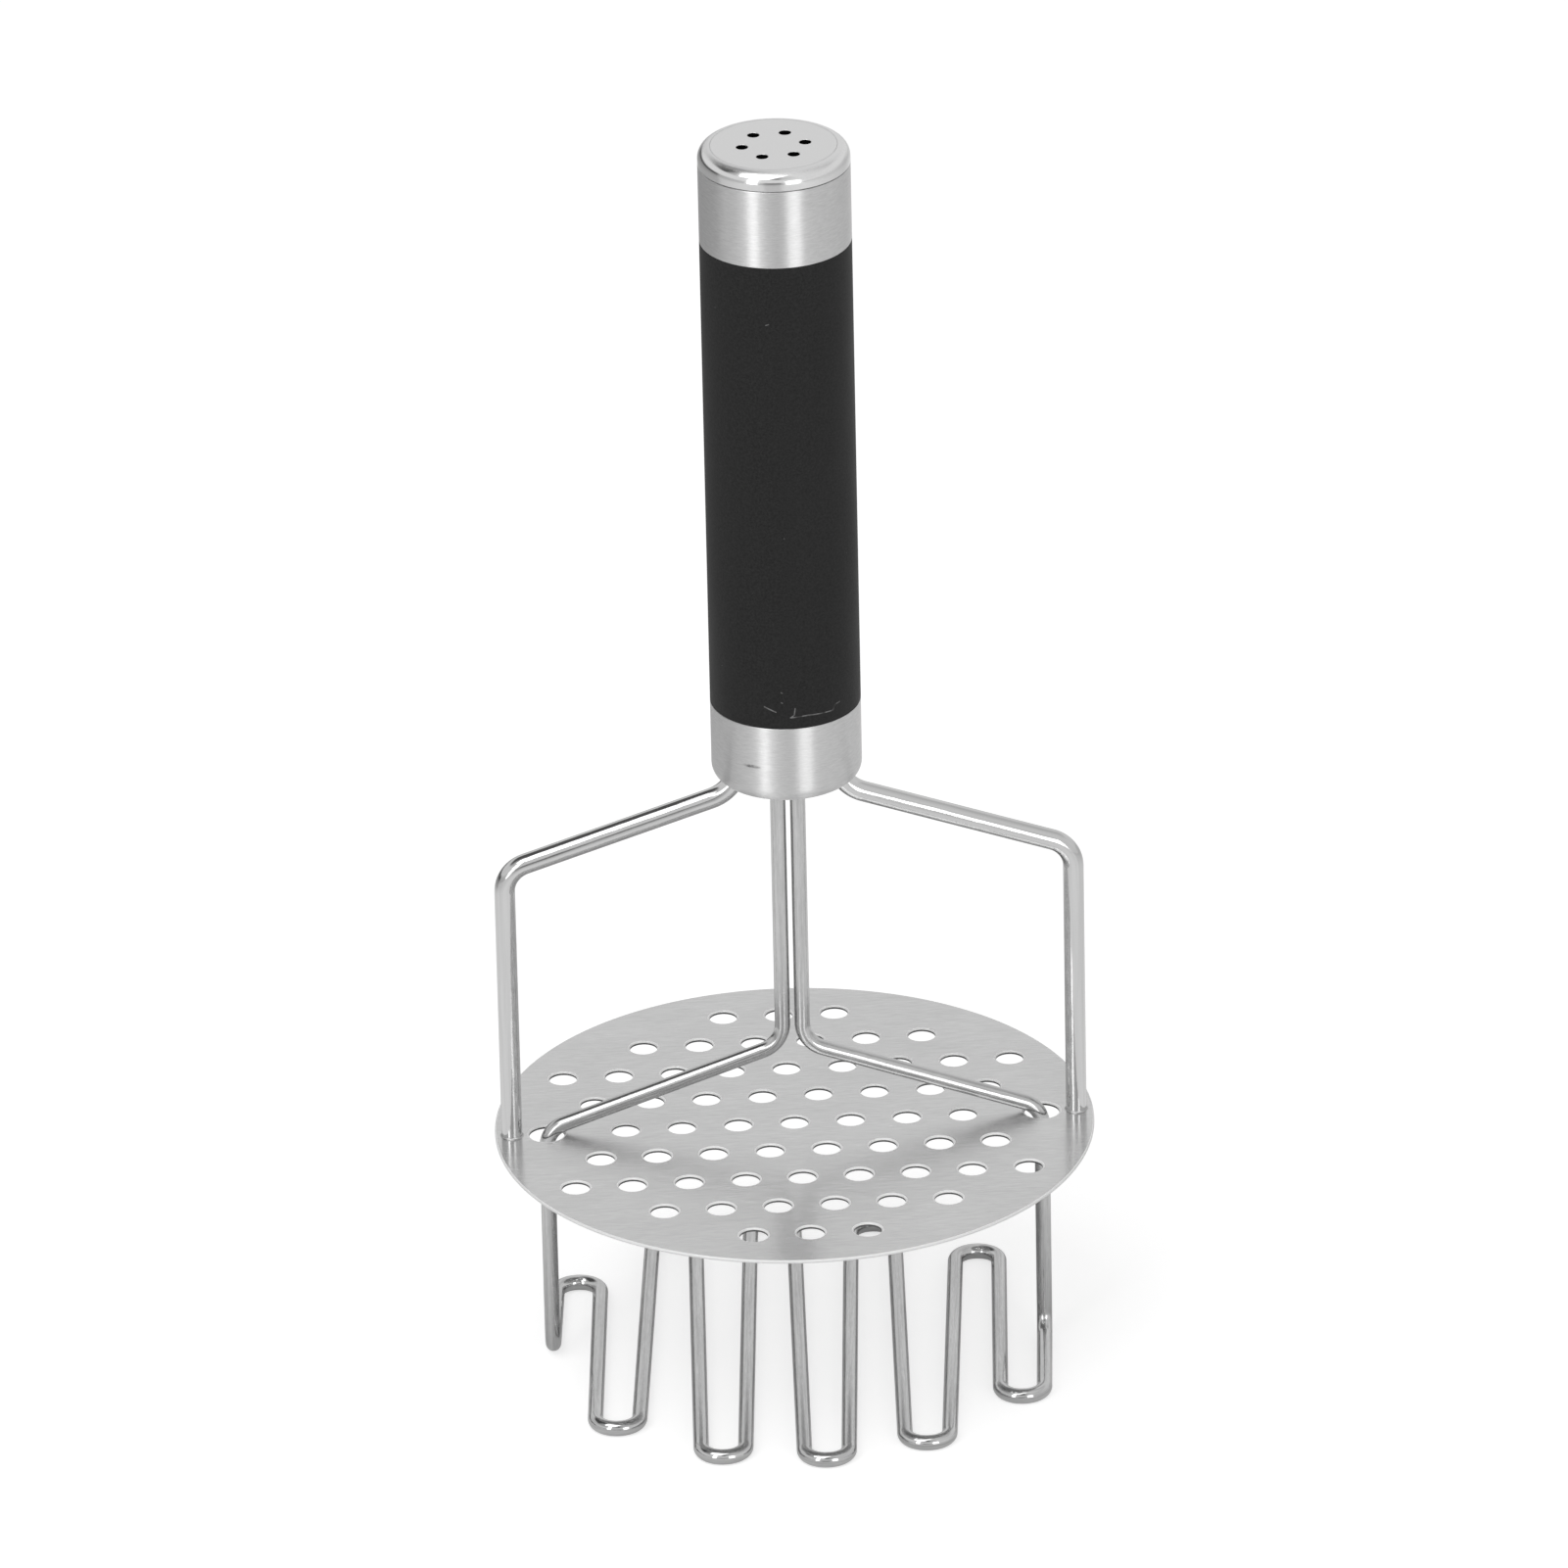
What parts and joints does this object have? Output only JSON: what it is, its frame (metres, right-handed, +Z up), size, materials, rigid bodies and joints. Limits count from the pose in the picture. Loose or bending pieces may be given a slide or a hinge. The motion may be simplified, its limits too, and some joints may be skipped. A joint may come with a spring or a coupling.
{
  "type": "potato masher",
  "caption": "Hand potato masher with a black cylindrical handle, a round perforated plate on bent frame wires, and a sprung wire grid below it that slides up into the handle.",
  "frame": {"origin": "centre of the footprint, at the height of the table that the wire grid stands on", "axes": "+Z up along the handle's axis; +X along the line of the two grid legs, so that the frame wires lie in the XZ plane"},
  "size_m": [0.116, 0.116, 0.2546],
  "materials": {
    "cap_steel": "satin brushed stainless steel with a polished rim",
    "ferrule_steel": "stainless steel, brushed round the barrel",
    "plate_steel": "fine satin stainless sheet with rolled-over punched edges",
    "frame_wire_steel": "polished stainless wire",
    "grid_wire_steel": "drawn stainless wire, satin, polished at the bends",
    "soft_touch_black": "matt soft-touch coating",
    "black_plastic": "moulded, matt",
    "bush_plastic": "self-lubricating plastic, matt",
    "buffer_rubber": "matt",
    "block_steel": "turned",
    "pin_steel": "plain",
    "spring_steel": "drawn spring wire"
  },
  "bodies": {
    "handle_and_plate": {"top_cap": "cap_steel", "cap_plug": "black_plastic", "upper_ferrule": "ferrule_steel", "grip_sleeve": "soft_touch_black", "core_tube": "black_plastic", "lower_ferrule": "ferrule_steel", "wire_block": "block_steel", "guide_bush": "bush_plastic", "stop_buffer": "buffer_rubber", "cross_pins": "pin_steel", "frame_wire_left": "frame_wire_steel", "frame_wire_right": "frame_wire_steel", "perforated_plate": "plate_steel", "upper_spring_washer": "pin_steel", "return_spring": "spring_steel"},
    "grid_and_plunger": {"masher_wire": "grid_wire_steel", "plunger": "bush_plastic", "plunger_pins": "pin_steel", "lower_spring_washer": "pin_steel"}
  },
  "joints": [
    {"name": "press_slide", "type": "slide", "parent": "handle_and_plate", "child": "grid_and_plunger", "axis": [0, 0, 1], "range_m": [0, 0.042], "stiffness_N_per_m": 560, "springref_m": -0.025, "deforming": ["return_spring"]}
  ]
}
